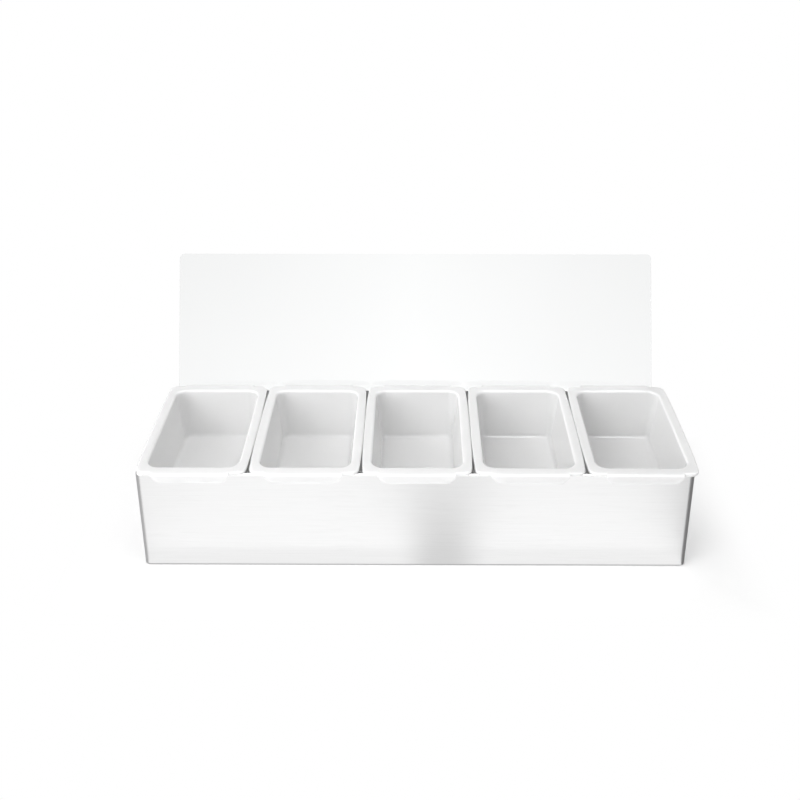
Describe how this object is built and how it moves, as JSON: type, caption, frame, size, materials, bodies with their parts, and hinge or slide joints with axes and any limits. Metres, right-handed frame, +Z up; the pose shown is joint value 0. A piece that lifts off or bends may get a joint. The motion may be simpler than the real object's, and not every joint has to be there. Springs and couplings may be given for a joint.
{
  "type": "condiment caddy",
  "caption": "Brushed steel counter box holding a row of lift-out white plastic inserts under one clear lid hinged at the rear.",
  "frame": {"origin": "centre of the box's underside, on the surface it stands on", "axes": "+Z up, +Y towards the rear wall where the lid is hinged, +X to the right seen from the front"},
  "size_m": [0.4996, 0.2394, 0.2121],
  "materials": {
    "brushed_steel": "fine horizontal brushing",
    "white_plastic": "moulded, satin to gloss",
    "clear_plastic": "clear, polished",
    "hinge_steel": "plain stamped sheet",
    "fastener_steel": "plain bright"
  },
  "bodies": {
    "housing": {"box_body": "brushed_steel", "left_wall_leaf": "hinge_steel", "right_wall_leaf": "hinge_steel", "left_hinge_pin": "fastener_steel", "right_hinge_pin": "fastener_steel", "left_wall_rivet_1": "fastener_steel", "left_wall_rivet_2": "fastener_steel", "right_wall_rivet_1": "fastener_steel", "right_wall_rivet_2": "fastener_steel"},
    "lid": {"lid": "clear_plastic", "left_lid_leaf": "hinge_steel", "right_lid_leaf": "hinge_steel", "left_lid_screw_1": "fastener_steel", "left_lid_screw_2": "fastener_steel", "right_lid_screw_1": "fastener_steel", "right_lid_screw_2": "fastener_steel", "left_lid_nut_1": "fastener_steel", "left_lid_nut_2": "fastener_steel", "right_lid_nut_1": "fastener_steel", "right_lid_nut_2": "fastener_steel"},
    "insert_1": {"insert_1": "white_plastic"},
    "insert_2": {"insert_2": "white_plastic"},
    "insert_3": {"insert_3": "white_plastic"},
    "insert_4": {"insert_4": "white_plastic"},
    "insert_5": {"insert_5": "white_plastic"}
  },
  "joints": [
    {"name": "lid_hinge", "type": "hinge", "parent": "housing", "child": "lid", "pos_m": [0, 0.07603, 0.0796], "axis": [-1, 0, 0], "range_deg": [-113.6, 0]},
    {"name": "insert_1_lift", "type": "slide", "parent": "housing", "child": "insert_1", "axis": [0, 0, 1], "range_m": [0, 0.06]},
    {"name": "insert_2_lift", "type": "slide", "parent": "housing", "child": "insert_2", "axis": [0, 0, 1], "range_m": [0, 0.06]},
    {"name": "insert_3_lift", "type": "slide", "parent": "housing", "child": "insert_3", "axis": [0, 0, 1], "range_m": [0, 0.06]},
    {"name": "insert_4_lift", "type": "slide", "parent": "housing", "child": "insert_4", "axis": [0, 0, 1], "range_m": [0, 0.06]},
    {"name": "insert_5_lift", "type": "slide", "parent": "housing", "child": "insert_5", "axis": [0, 0, 1], "range_m": [0, 0.06]}
  ]
}
